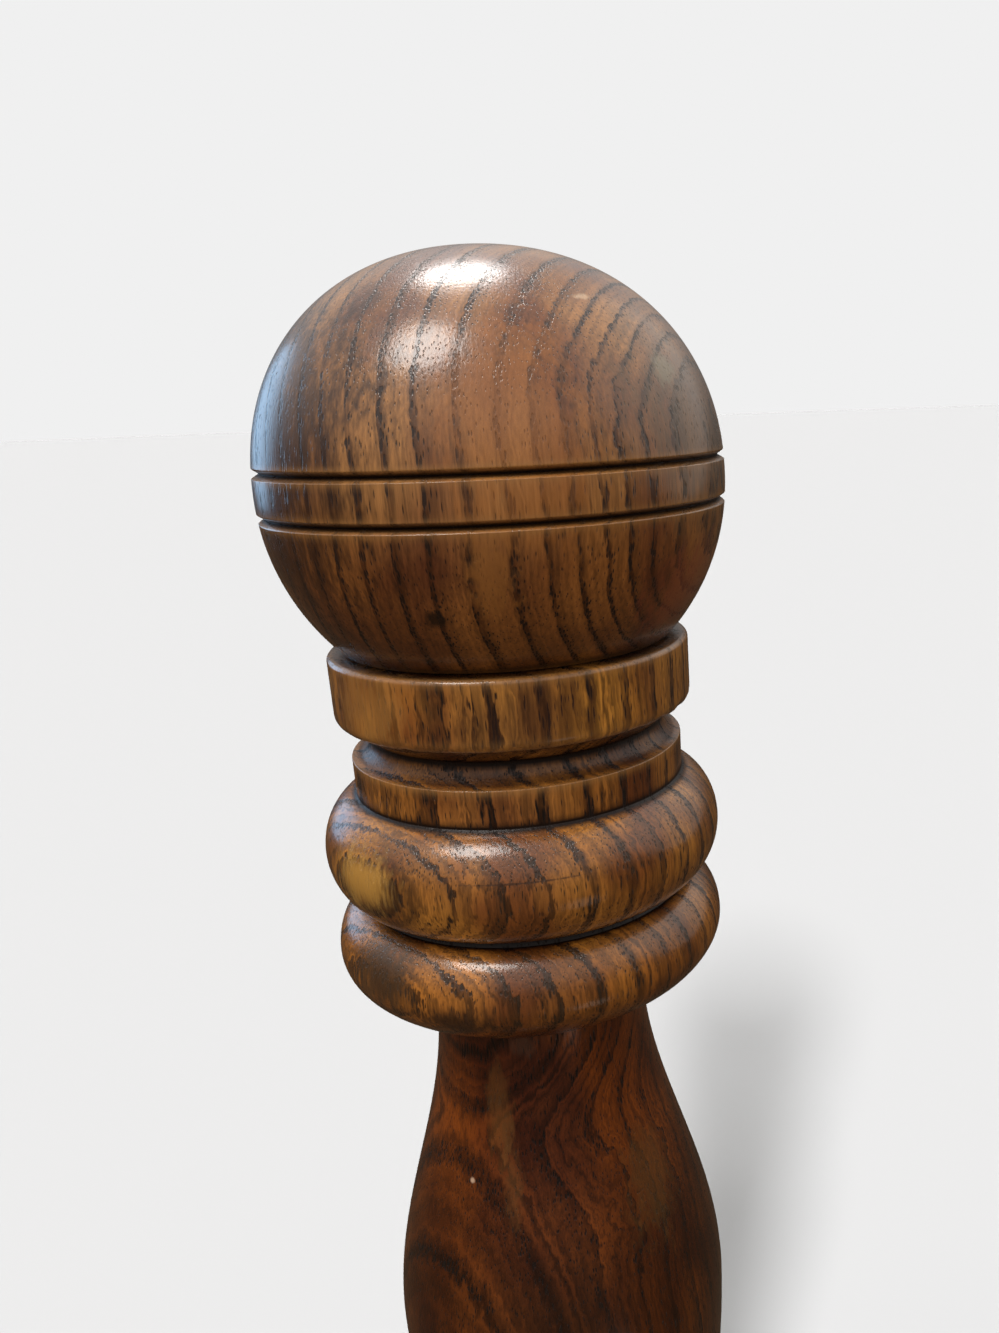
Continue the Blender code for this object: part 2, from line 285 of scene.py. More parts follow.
FINE_ABOVE = BELLY_LEVEL + BELLY_DROP * 0.8
outline = collar_and_step() + torus_and_ovolo() + shaft_and_lower_ring()
outline = ease_corners(outline, POST_CORNER_EASE)
above_shaft = [p for p in outline if p[1] > FINE_ABOVE]
below = [p for p in outline if p[1] <= FINE_ABOVE]
outline = divide(above_shaft, FINE_STEP) + divide(below, SHAFT_STEP)
outline = [p for p in outline if p[0] > 0.5]
turned_rows = len(outline)

# Below the shoulder each column follows its own way down: the turned curve, then the sawn flat
SHOULDER_ROWS = 16
BLOCK_ROWS = 29
flats = rounded_square_reach(post_angles, HALF_SIDE, BLOCK_ARRIS_ROUND)
shoulder_reach = HALF_SIDE * math.sqrt(2) - SHOULDER_RADIUS
curve_end = np.arccos(np.clip((flats - SHOULDER_RADIUS) / shoulder_reach, 0, 1))
row_radii = [np.full(len(post_angles), r) for r, z in outline]
row_levels = [np.full(len(post_angles), z) for r, z in outline]
for part in list(np.linspace(0, 1, SHOULDER_ROWS + 1)[1:-1]) + [0.98, 1.0]:
    turn = math.pi / 2 + (curve_end - math.pi / 2) * part
    row_radii.append(SHOULDER_RADIUS + shoulder_reach * np.cos(turn))
    row_levels.append(BLOCK_HEIGHT + SHOULDER_HEIGHT * np.sin(turn))
flat_top = row_levels[-1]
for part in [0.003, 0.01] + list(np.linspace(0, 1, BLOCK_ROWS + 1)[1:-1]):
    row_radii.append(flats)
    row_levels.append(flat_top + (BLOCK_ARRIS_ROUND - flat_top) * part)
for turn in np.radians([0, 22.5, 45, 67.5, 90]):
    row_radii.append(flats - BLOCK_ARRIS_ROUND * (1 - math.cos(turn)))
    row_levels.append(np.full(len(post_angles), BLOCK_ARRIS_ROUND * (1 - math.sin(turn))))
for share in (0.75, 0.5, 0.25):
    row_radii.append(flats * share)
    row_levels.append(np.zeros(len(post_angles)))
post_radii, post_levels = np.array(row_radii), np.array(row_levels)

POST_HOLLOW_REACH = 1.6
middle_column = len(post_angles) // 2
post_hollow = bend_of_outline(post_radii[:, middle_column], post_levels[:, middle_column], POST_HOLLOW_REACH)
post_hollow[0] = post_hollow[-4:] = 0

# The gouge left the turned work slightly uneven, and the collar's lower edge ragged
POST_GOUGE_SPAN = 26.0
POST_GOUGE_DEPTH = 0.12
POST_GOUGE_SEED = 3.0
RAG_HEIGHT = 2.6
RAG_DEPTH = 1.5
RAG_CLOSENESS = 11
uneven = hand_turned(post_radii, post_levels, post_angles, POST_GOUGE_SPAN, POST_GOUGE_DEPTH, POST_GOUGE_SEED)
uneven[turned_rows:] = 0
rag = np.zeros_like(post_radii)
for i in range(turned_rows):
    from_edge = post_levels[i, 0] - COLLAR_FOOT
    if -0.05 < from_edge < RAG_HEIGHT and post_radii[i, 0] > COVE_RADIUS + 1.5:
        for j, angle in enumerate(post_angles):
            round_edge = (math.cos(angle) * RAG_CLOSENESS, math.sin(angle) * RAG_CLOSENESS)
            chip = noise.noise(Vector((*round_edge, from_edge * 0.35)))
            rag[i, j] = -max(0.0, chip - 0.12) * RAG_DEPTH * (1 - from_edge / RAG_HEIGHT)
post_radii = post_radii + uneven + rag

post = turned_mesh("turned_post_wood", post_radii, post_levels, post_angles, post_hollow)
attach(post, "root")
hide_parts("turned_post")


def linear(hex_colour):
    """An sRGB hex colour as linear red, green, blue and alpha."""
    channels = [int(hex_colour[i : i + 2], 16) / 255 for i in (1, 3, 5)]
    return [c / 12.92 if c <= 0.04045 else ((c + 0.055) / 1.055) ** 2.4 for c in channels] + [1.0]


def add_node(tree, kind, inputs, take=0, stops=(), **settings):
    """Adds a shader node with its settings and any ramp stops, fills or links its inputs, and gives
    one of its outputs."""
    node = tree.nodes.new("ShaderNode" + kind)
    for name, value in settings.items():
        setattr(node, name, value)
    if stops:
        first, *between, last = stops
        ends = node.color_ramp.elements
        ends[0].position, ends[0].color = first
        ends[1].position, ends[1].color = last
        for position, colour in between:
            ends.new(position).color = colour
    for socket, value in inputs.items():
        if isinstance(value, bpy.types.NodeSocket):
            tree.links.new(value, node.inputs[socket])
        else:
            node.inputs[socket].default_value = value
    return node.outputs[take]


# Sizes of the grain's features: across, across and along the trunk, or across the rings alone.
# Vessels are really about 0.3 mm wide and fibres finer still, and both are drawn as coarse as they
# need to be to show.
SLOW_WANDER = (46.0, 46.0, 150.0)
KNURL = (5.0, 5.0, 7.0)
RAGGED_EDGE = (4.0, 4.0, 16.0)
FRAYED_EDGE = (1.1, 1.1, 5.0)
BROKEN_BAND = (6.0, 6.0, 13.0)
STAIN_PATCH = (15.0, 15.0, 34.0)
VESSEL = (0.5, 0.5, 4.2)
FIBRE = (0.45, 0.45, 12.0)
SPELL_OF_YEARS = 11.0
THIN_LINE = 0.8

# Rounds the turn of the ball's bowed grain at its middle, in square millimetres
BOW_ROUND = 30.0


def depth_in_trunk(tree, mm, grain, look):
    """Each point's height, and how far it lies outwards in the trunk, from the axis that it was turned on.
    The grain swerves past a branch that was cut away and curls beside it."""
    split = add_node(tree, "SeparateXYZ", {0: grain}).node
    height = split.outputs[2]
    above = add_node(tree, "Math", {0: height, 1: look["middle"]}, operation="SUBTRACT")
    lean_x, lean_y = look["lean"]
    x = add_node(tree, "Math", {0: above, 1: lean_x, 2: split.outputs[0]}, operation="MULTIPLY_ADD")
    y = add_node(tree, "Math", {0: above, 1: lean_y, 2: split.outputs[1]}, operation="MULTIPLY_ADD")
    level = add_node(tree, "CombineXYZ", {0: x, 1: y})
    facing = math.radians(look["bark_side"])
    pith = (-look["pith_distance"] * math.sin(facing), look["pith_distance"] * math.cos(facing), 0.0)
    depth = add_node(tree, "VectorMath", {0: level, 1: pith}, 1, operation="DISTANCE")
    depth = add_node(tree, "Math", {0: depth, 1: look["pith_distance"]}, operation="SUBTRACT")
    bow = add_node(tree, "Math", {0: above, 1: above, 2: BOW_ROUND}, operation="MULTIPLY_ADD")
    bow = add_node(tree, "Math", {0: bow}, operation="SQRT")
    depth = add_node(tree, "Math", {0: bow, 1: look["bow"], 2: depth}, operation="MULTIPLY_ADD")
    swerve_top, swerve_foot, swerve = look["swerve"]
    swerve = {0: height, 1: swerve_top, 2: swerve_foot, 3: 0.0, 4: swerve}
    swerve = add_node(tree, "MapRange", swerve, interpolation_type="SMOOTHSTEP")
    depth = add_node(tree, "Math", {0: depth, 1: swerve}, operation="ADD")
    curl_place, curl_reach, curl_depth = look["curl"]
    curl = add_node(tree, "VectorMath", {0: mm, 1: curl_place}, 1, operation="DISTANCE")
    curl = {0: curl, 1: curl_reach, 2: curl_reach * 0.3, 3: 0.0, 4: curl_depth}
    curl = add_node(tree, "MapRange", curl, interpolation_type="SMOOTHSTEP")
    knurl = add_node(tree, "VectorMath", {0: mm, 1: KNURL}, operation="DIVIDE")
    knurl = add_node(tree, "TexNoise", {"Vector": knurl, "Scale": 1.0, "Detail": 3.0, "Roughness": 0.6})
    return height, add_node(tree, "Math", {0: curl, 1: knurl, 2: depth}, operation="MULTIPLY_ADD")


def early_wood(tree, depth, look):
    """Each point's depth once good and poor years are counted, and its share of early wood, by the season
    of the ring that it lies in. Rings near the bark are narrower."""
    spell = {"W": depth, "Scale": 1 / SPELL_OF_YEARS, "Detail": 0.0}
    spell = add_node(tree, "TexNoise", spell, noise_dimensions="1D")
    spell = add_node(tree, "Math", {0: spell, 1: 0.5}, operation="SUBTRACT")
    depth = add_node(tree, "Math", {0: spell, 1: look["uneven_years"], 2: depth}, operation="MULTIPLY_ADD")
    outer = add_node(tree, "Math", {0: depth, 1: look["crowd_from"]}, operation="SUBTRACT")
    outer = add_node(tree, "Math", {0: outer, 1: 0.0}, operation="MAXIMUM")
    outer = add_node(tree, "Math", {0: outer, 1: 2.0}, operation="POWER")
    start = look["ring_start"] / look["ring_width"]
    start += look["crowding"] * max(0.0, look["ring_start"] - look["crowd_from"]) ** 2
    years = add_node(tree, "Math", {0: depth, 1: look["ring_width"]}, operation="DIVIDE")
    years = add_node(tree, "Math", {0: outer, 1: look["crowding"], 2: years}, operation="MULTIPLY_ADD")
    years = add_node(tree, "Math", {0: years, 1: start}, operation="SUBTRACT")
    season = add_node(tree, "Math", {0: years}, operation="FRACT")
    stops = [(position, (value, value, value, 1)) for position, value in look["season"]]
    return depth, add_node(tree, "ValToRGB", {0: season}, stops=stops)


def stained_ring_porous_wood(name, look):
    """Ash-like wood, turned, stained and gloss varnished. Its growth rings run through the solid, so that
    the lathe cuts them into stripes, ovals and arches. Each ring starts with a band of open vessels that
    hold dark stain, and ends in smooth golden late wood. The varnish gives a clear gloss over it all."""
    material = bpy.data.materials.new(name)
    material.use_nodes = True
    tree = material.node_tree
    shader = tree.nodes["Principled BSDF"]
    place = add_node(tree, "TexCoord", {}, "Object")
    mm = add_node(tree, "VectorMath", {0: place, 3: 1 / MM}, operation="SCALE")

    # The grain wanders slowly along the tree, and each ring's edge is ragged
    slow = add_node(tree, "VectorMath", {0: mm, 1: SLOW_WANDER}, operation="DIVIDE")
    slow = add_node(tree, "TexNoise", {"Vector": slow, "Scale": 1.0, "Detail": 1.0}, "Color")
    slow = add_node(tree, "VectorMath", {0: slow, 1: (0.5, 0.5, 0.5)}, operation="SUBTRACT")
    slow = add_node(tree, "VectorMath", {0: slow, 3: look["wander"]}, operation="SCALE")
    grain = add_node(tree, "VectorMath", {0: mm, 1: slow}, operation="ADD")
    height, depth = depth_in_trunk(tree, mm, grain, look)
    ragged = add_node(tree, "VectorMath", {0: grain, 1: RAGGED_EDGE}, operation="DIVIDE")
    ragged = add_node(tree, "TexNoise", {"Vector": ragged, "Scale": 1.0, "Detail": 4.0, "Roughness": 0.62})
    ragged = add_node(tree, "Math", {0: ragged, 1: 0.5}, operation="SUBTRACT")
    depth = add_node(tree, "Math", {0: ragged, 1: look["raggedness"], 2: depth}, operation="MULTIPLY_ADD")
    frayed = add_node(tree, "VectorMath", {0: grain, 1: FRAYED_EDGE}, operation="DIVIDE")
    frayed = add_node(tree, "TexNoise", {"Vector": frayed, "Scale": 1.0, "Detail": 2.0, "Roughness": 0.6})
    frayed = add_node(tree, "Math", {0: frayed, 1: 0.5}, operation="SUBTRACT")
    depth = add_node(tree, "Math", {0: frayed, 1: look["fraying"], 2: depth}, operation="MULTIPLY_ADD")

    # The bands of early wood break up here and there, and are calmer low on the piece
    depth, early = early_wood(tree, depth, look)
    broken = add_node(tree, "VectorMath", {0: grain, 1: BROKEN_BAND}, operation="DIVIDE")
    broken = add_node(tree, "TexNoise", {"Vector": broken, "Scale": 1.0, "Detail": 3.0, "Roughness": 0.6})
    broken = add_node(tree, "MapRange", {0: broken, 1: 0.32, 2: 0.62, 3: 0.55, 4: 1.15})
    early = add_node(tree, "Math", {0: early, 1: broken}, operation="MULTIPLY", use_clamp=True)
    calm_top, calm_foot, calm_share = look["calm"]
    calm = {0: height, 1: calm_top, 2: calm_foot, 3: 1.0, 4: calm_share}
    calm = add_node(tree, "MapRange", calm, interpolation_type="SMOOTHSTEP")
    early = add_node(tree, "Math", {0: early, 1: calm}, operation="MULTIPLY")

    # Vessels run along the trunk: dashes on upright faces and dots on level ones
    vessel = add_node(tree, "VectorMath", {0: grain, 1: VESSEL}, operation="DIVIDE")
    vessel = add_node(tree, "TexVoronoi", {"Vector": vessel, "Scale": 1.0}, "Distance")
    reach = add_node(tree, "Math", {0: early, 1: 0.33, 2: 0.23}, operation="MULTIPLY_ADD")
    pore = add_node(tree, "Math", {0: reach, 1: vessel}, operation="SUBTRACT")
    pore = add_node(tree, "Math", {0: pore, 1: 7.0}, operation="MULTIPLY", use_clamp=True)
    fibre = add_node(tree, "VectorMath", {0: grain, 1: FIBRE}, operation="DIVIDE")
    fibre = add_node(tree, "TexNoise", {"Vector": fibre, "Scale": 1.0, "Detail": 3.0, "Roughness": 0.6})

    # Late wood took the stain in patches, early wood and pores took it darkest, and thin lines run through
    patch = add_node(tree, "VectorMath", {0: mm, 1: STAIN_PATCH}, operation="DIVIDE")
    patch = add_node(tree, "TexNoise", {"Vector": patch, "Scale": 1.0, "Detail": 3.0})
    patch = add_node(tree, "MapRange", {0: patch, 1: 0.36, 2: 0.64, 3: 0.0, 4: 1.0})
    late = {0: patch, 6: linear(look["late_dark"]), 7: linear(look["late_light"])}
    colour = add_node(tree, "Mix", late, 2, data_type="RGBA")
    share = add_node(tree, "Math", {0: early, 1: look["band_strength"]}, operation="MULTIPLY")
    colour = add_node(tree, "Mix", {0: share, 6: colour, 7: linear(look["early"])}, 2, data_type="RGBA")
    share = add_node(tree, "Math", {0: pore, 1: look["pore_strength"]}, operation="MULTIPLY")
    colour = add_node(tree, "Mix", {0: share, 6: colour, 7: linear(look["pore"])}, 2, data_type="RGBA")
    line = {"W": depth, "Scale": 1 / THIN_LINE, "Detail": 2.0}
    line = add_node(tree, "TexNoise", line, noise_dimensions="1D")
    line = add_node(tree, "Math", {0: line, 1: 0.5}, operation="SUBTRACT")
    streak = add_node(tree, "Math", {0: line, 1: look["thin_lines"], 2: fibre}, operation="MULTIPLY_ADD")
    streak = add_node(tree, "MapRange", {0: streak, 1: 0.2, 2: 0.8, 3: 0.55, 4: 1.4})
    colour = add_node(tree, "VectorMath", {0: colour, 3: streak}, operation="SCALE")

    # The colour is multiplied by tints between given heights: the stain's tone along the piece, mostly darker
    # lower down, and a painted shadow at the joint of ball and post. A few knots, worn spots and patches lie
    # where they do, and one grey patch is a painted reflection
    for top, foot, tone in look["tints"]:
        share = {0: height, 1: top, 2: foot, 3: 0.0, 4: 1.0}
        share = add_node(tree, "MapRange", share, interpolation_type="SMOOTHSTEP")
        tint = add_node(tree, "Mix", {0: share, 6: (1, 1, 1, 1), 7: (*tone, 1)}, 2, data_type="RGBA")
        tint = {0: 1.0, 6: colour, 7: tint}
        colour = add_node(tree, "Mix", tint, 2, data_type="RGBA", blend_type="MULTIPLY")
    for centre, size, tone, strength in look["marks"].values():
        away = add_node(tree, "VectorMath", {0: mm, 1: centre}, operation="SUBTRACT")
        away = add_node(tree, "VectorMath", {0: away, 1: size}, operation="DIVIDE")
        away = add_node(tree, "VectorMath", {0: away}, 1, operation="LENGTH")
        away = add_node(tree, "Math", {0: ragged, 1: 1.8, 2: away}, operation="MULTIPLY_ADD")
        away = add_node(tree, "Math", {0: frayed, 1: 1.4, 2: away}, operation="MULTIPLY_ADD")
        share = {0: away, 1: 1.25, 2: 0.35, 3: 0.0, 4: strength}
        share = add_node(tree, "MapRange", share, interpolation_type="SMOOTHSTEP")
        colour = add_node(tree, "Mix", {0: share, 6: colour, 7: linear(tone)}, 2, data_type="RGBA")

    # Stain and dust stay in the hollows, which are also darkened as painted shade, and hands wear the arrises
    # lighter, which also paints a highlight on them
    hollow = add_node(tree, "Attribute", {}, "Fac", attribute_name="hollow")
    stain_and_shade = add_node(tree, "Math", {0: hollow, 1: 2.6}, operation="MULTIPLY", use_clamp=True)
    colour = add_node(tree, "Mix", {0: stain_and_shade, 6: colour, 7: linear("#1a0c05")}, 2, data_type="RGBA")
    # The arrises are lightened in dashes along the fibres: partly wear, partly a painted highlight
    wear_and_highlight = add_node(tree, "Attribute", {}, "Fac", attribute_name="proud")
    wear_and_highlight = add_node(tree, "Math", {0: wear_and_highlight, 1: fibre}, operation="MULTIPLY")
    wear_and_highlight = add_node(tree, "Math", {0: wear_and_highlight, 1: 2.0}, operation="MULTIPLY", use_clamp=True)
    colour = add_node(tree, "Mix", {0: wear_and_highlight, 6: colour, 7: linear("#a8763f")}, 2, data_type="RGBA")
    tree.links.new(colour, shader.inputs["Base Color"])

    # The varnish lies thin in the hollows, and softens the relief of the pores
    rough = add_node(tree, "Math", {0: pore, 1: 0.25, 2: look["roughness"]}, operation="MULTIPLY_ADD")
    tree.links.new(rough, shader.inputs["Roughness"])
    shader.inputs["IOR"].default_value = 1.5
    shader.inputs["Specular IOR Level"].default_value = 0.35
    varnish = {0: hollow, 1: -4.0, 2: 1.0}
    varnish = add_node(tree, "Math", varnish, operation="MULTIPLY_ADD", use_clamp=True)
    tree.links.new(varnish, shader.inputs["Coat Weight"])
    shader.inputs["Coat Roughness"].default_value = look["varnish_roughness"]
    shader.inputs["Coat IOR"].default_value = 1.5
    relief = add_node(tree, "Math", {0: pore, 1: -1.0, 2: fibre}, operation="MULTIPLY_ADD")
    relief = add_node(tree, "Math", {0: early, 1: -0.5, 2: relief}, operation="MULTIPLY_ADD")
    for socket, deep in (("Normal", 0.12), ("Coat Normal", 0.06)):
        bump = add_node(tree, "Bump", {"Height": relief, "Strength": 0.6, "Distance": deep * MM})
        tree.links.new(bump, shader.inputs[socket])
    return material


# The sap side of the trunk faced front left, so the rings show as ovals there and as stripes on the
# right. A tint is a top and foot between which it comes in, and what it multiplies the colour by. A
# mark is a place, a size each way, a tone and a strength.
post_look = {
    "bark_side": -50.5, "pith_distance": 150.0, "middle": OVOLO_LEVEL, "lean": (0.0, 0.02), "bow": 0.0,
    "wander": 2.5, "raggedness": 2.0, "fraying": 2.2,
    "swerve": (NECK_LEVEL + 1, NECK_LEVEL - 26, -14.0), "curl": ((20.0, -23.0, POST_TOP - 119), 26.0, 9.0),
    "ring_width": 7.0, "ring_start": 39.6, "crowd_from": 19.0, "crowding": 0.003, "uneven_years": 1.0,
    "season": [
        (0.0, 0.8), (0.03, 1.0), (0.15, 0.9), (0.24, 0.3), (0.38, 0.08), (0.44, 0.5),
        (0.5, 0.08), (0.66, 0.0), (0.71, 0.4), (0.76, 0.04), (0.96, 0.0), (1.0, 0.4),
    ],
    "calm": (NECK_LEVEL + 25, NECK_LEVEL - 5, 0.75),
    "band_strength": 0.92, "pore_strength": 0.95, "thin_lines": 1.5,
    "late_dark": "#6e3c15", "late_light": "#bb7d31", "early": "#361a0a", "pore": "#150903",
    "tints": [
        (NECK_LEVEL + 25, NECK_LEVEL - 5, (0.5, 0.31, 0.2)),
        (TORUS_FOOT + 5, OVOLO_LEVEL + 3, (0.76, 0.68, 0.6)),
        (NECK_LEVEL - 12, NECK_LEVEL - 60, (0.55, 0.58, 0.56)),
        (COLLAR_FOOT + 1, COLLAR_FOOT - 1, (0.8, 0.74, 0.8)),
        # Painted shadow: the flat top under the ball is darkened where the ball's overhang shades it
        (POST_TOP - 0.55, POST_TOP - 0.15, (0.2, 0.17, 0.15)),
        (STEP_FOOT + 1, STEP_FOOT - 1, (1.25, 1.3, 1.15)),
    ],
    "marks": {
        "dark_round_oval": ((-30.5, -28.0, POST_TOP - 39.5), (13.0, 13.0, 9.6), "#2b170b", 0.62),
        "golden_oval": ((-31.8, -26.6, POST_TOP - 39.0), (8.3, 8.3, 6.2), "#cf9a48", 0.72),
        "dark_lens": ((-16.6, -37.2, POST_TOP - 65.2), (9.5, 9.0, 3.6), "#260c05", 0.97),
        "pale_collar_left": ((-27.0, -24.0, POST_TOP - 6.5), (13.0, 10.0, 7.5), "#c48a45", 0.42),
        "dark_collar_front": ((3.0, -36.0, POST_TOP - 9.0), (17.0, 8.0, 9.0), "#3a1a0b", 0.5),
        "dark_oval": ((-30.5, -26.7, POST_TOP - 58.6), (11.0, 11.0, 7.8), "#33251a", 0.85),
        "neck_streak": ((-11.0, -22.0, POST_TOP - 97.0), (3.0, 6.0, 12.0), "#80501f", 0.42),
        "vase_streak": ((-9.6, -25.8, POST_TOP - 112.0), (2.4, 6.0, 12.0), "#6e4720", 0.35),
        "dark_belly": ((-2.0, -37.0, POST_TOP - 150.0), (15.0, 12.0, 24.0), "#1b0c05", 0.5),
        "curl_heart": ((20.0, -23.0, POST_TOP - 119.0), (7.0, 8.0, 14.0), "#61431f", 0.42),
        # Painted reflection: a grey patch on the neck where the varnish shows a pale sheen
        "grey_painted_reflection": ((-5.4, -22.5, POST_TOP - 81.6), (3.5, 6.0, 3.0), "#5a4030", 0.4),
        "fine_crack": ((-2.2, -41.0, POST_TOP - 36.6), (11.0, 5.0, 0.22), "#2c1206", 0.8),
        "pale_speck": ((-17.9, -22.3, POST_TOP - 112.6), (0.7, 0.7, 0.7), "#c9a78c", 0.9),
    },
    "roughness": 0.38, "varnish_roughness": 0.16,
}
post.data.materials.append(stained_ring_porous_wood("post_wood_stained_varnished", post_look))

# Ball finial: a separate piece of the same kind of wood, turned to a ball with two V grooves, stained
# a cooler brown, varnished and glued on the collar. Its growth rings lie another way round.
ball_low, ball_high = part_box("ball_finial")
BALL_FOOT = ball_low.z / MM
EQUATOR_RADIUS = ball_high.x / MM
EQUATOR_HEIGHT = 30.0
CROWN_HEIGHT = ball_high.z / MM - BALL_FOOT - EQUATOR_HEIGHT
CROWN_FULLNESS = 2.16
FOOT_RADIUS = 32.8
UPPER_GROOVE_HEIGHT = 34.8
LOWER_GROOVE_HEIGHT = 26.7
GROOVE_WIDTH = 1.8
GROOVE_DEPTH = 1.4


def ball_radius(height):
    """Radius of the ball at a height above its foot; the crown's shoulders are fuller than a circle."""
    if height > EQUATOR_HEIGHT:
        part = min(1.0, (height - EQUATOR_HEIGHT) / CROWN_HEIGHT)
        return EQUATOR_RADIUS * (1 - part**CROWN_FULLNESS) ** (1 / CROWN_FULLNESS)
    semi_height = EQUATOR_HEIGHT / math.sqrt(1 - (FOOT_RADIUS / EQUATOR_RADIUS) ** 2)
    part = (EQUATOR_HEIGHT - height) / semi_height
    return EQUATOR_RADIUS * math.sqrt(1 - part**2)


def ball_outline():
    """Outline of the ball from its crown down to its flat foot, with the V grooves cut in."""
    levels = [EQUATOR_HEIGHT + CROWN_HEIGHT * math.sin(a) for a in np.radians(np.linspace(89, 0, 90))]
    levels += list(np.linspace(EQUATOR_HEIGHT, 0, 42)[1:])
    grooves = (UPPER_GROOVE_HEIGHT, LOWER_GROOVE_HEIGHT)
    clear = [z for z in levels if all(abs(z - g) > GROOVE_WIDTH / 2 for g in grooves)]
    points = [(ball_radius(z), z) for z in clear]
    for g in grooves:
        for z in (g + GROOVE_WIDTH / 2, g - GROOVE_WIDTH / 2):
            points.append((ball_radius(z), z))
        points.append((ball_radius(g) - GROOVE_DEPTH, g))
    points.sort(key=lambda p: -p[1])
    points.append((0.0, 0.0))
    return [(r, z + BALL_FOOT) for r, z in points]


# The gouge only ever takes wood away, so that the ball stays inside its round
BALL_SIDES = 240
BALL_STEP = 0.9
BALL_CORNER_EASE = 0.35
BALL_HOLLOW_REACH = 1.2
BALL_GOUGE_SPAN = 22.0
BALL_GOUGE_DEPTH = 0.1
BALL_GOUGE_SEED = 9.0
BALL_GOUGE_CLEAR = 0.08
ball_points = divide(ease_corners(ball_outline(), BALL_CORNER_EASE), BALL_STEP)
ball_points = [p for p in ball_points if p[0] > 0.4]
ball_angles = np.linspace(0, 2 * math.pi, BALL_SIDES, endpoint=False)
ball_radii = np.array([[r] * BALL_SIDES for r, z in ball_points])
ball_levels = np.array([[z] * BALL_SIDES for r, z in ball_points])
ball_hollow = bend_of_outline(ball_radii[:, 0], ball_levels[:, 0], BALL_HOLLOW_REACH)
ball_hollow[0] = 0
uneven = hand_turned(ball_radii, ball_levels, ball_angles, BALL_GOUGE_SPAN, BALL_GOUGE_DEPTH, BALL_GOUGE_SEED)
ball_radii = ball_radii + np.minimum(uneven - BALL_GOUGE_CLEAR, 0.0)
ball = turned_mesh("ball_finial_wood", ball_radii, ball_levels, ball_angles, ball_hollow)
ball_look = {
    "bark_side": 65.0, "pith_distance": 130.0, "middle": BALL_FOOT + 31, "lean": (0.0, 0.0), "bow": 0.2,
    "wander": 2.0, "raggedness": 1.1, "fraying": 0.8,
    "swerve": (BALL_FOOT, BALL_FOOT - 10, 0.0), "curl": ((14.0, -42.0, BALL_FOOT + 40), 22.0, 2.4),
    "ring_width": 5.5, "ring_start": 31.4, "crowd_from": 27.0, "crowding": 0.01, "uneven_years": 0.8,
    "season": [
        (0.0, 0.9), (0.03, 1.0), (0.13, 0.95), (0.2, 0.35), (0.38, 0.12), (0.7, 0.0), (0.95, 0.0), (1.0, 0.3),
    ],
    "calm": (BALL_FOOT + 34, BALL_FOOT + 18, 1.0),
    "band_strength": 0.9, "pore_strength": 0.95, "thin_lines": 0.7,
    "late_dark": "#6e4024", "late_light": "#a4703c", "early": "#43240f", "pore": "#22110a",
    "tints": [
        (BALL_FOOT + 34, BALL_FOOT + 18, (0.8, 0.64, 0.48)),
        (BALL_FOOT + 14, BALL_FOOT + 2, (0.75, 0.75, 0.75)),
        # Painted shadow: the ball's foot is darkened where it meets the post
        (BALL_FOOT + 1.5, BALL_FOOT + 0.3, (0.25, 0.22, 0.2)),
    ],
    "marks": {
        "knot": ((-11.8, -39.0, POST_TOP + 11.6), (2.2, 4.0, 1.6), "#1d0d05", 0.9),
        "worn_patch": ((29.7, -27.9, POST_TOP + 50.6), (2.6, 4.0, 2.8), "#a39a7c", 0.75),
        "golden_front": ((4.0, -44.0, BALL_FOOT + 43), (14.0, 14.0, 24.0), "#b8702c", 0.42),
        "dark_left": ((-40.0, -24.0, BALL_FOOT + 42), (27.0, 26.0, 38.0), "#2a140a", 0.82),
        "olive_right": ((37.0, -24.0, BALL_FOOT + 44), (18.0, 20.0, 22.0), "#5f4a30", 0.55),
        "golden_low": ((-2.1, -43.4, BALL_FOOT + 19), (4.5, 5.0, 8.0), "#a3682c", 0.6),
        "red_low_right": ((32.8, -23.5, BALL_FOOT + 11), (13.0, 12.0, 9.0), "#9a4c2b", 0.55),
        "scratch": ((16.5, -27.6, POST_TOP + 62.3), (1.6, 3.0, 0.5), "#d9b48f", 0.6),
    },
    "roughness": 0.38, "varnish_roughness": 0.18,
}
ball.data.materials.append(stained_ring_porous_wood("ball_wood_stained_varnished", ball_look))
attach(ball, "root")
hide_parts("ball_finial")

# Camera: a phone held close, a little above the ball and turned to its left, as a fit to the
# photograph's outline and rings gives it. The picture is a crop, so the lens is shifted.
IMAGE_WIDTH = 999
IMAGE_HEIGHT = 1333
CAMERA_DISTANCE = 217.9
CAMERA_ABOVE_JOINT = 44.5
CAMERA_PITCH = 16.75
CAMERA_YAW = 10.14
CAMERA_ROLL = -2.04
FOCAL_PIXELS = 1061.0
AXIS_PIXEL_X = 700.7
AXIS_PIXEL_Y = 723.3
SENSOR = 36.0

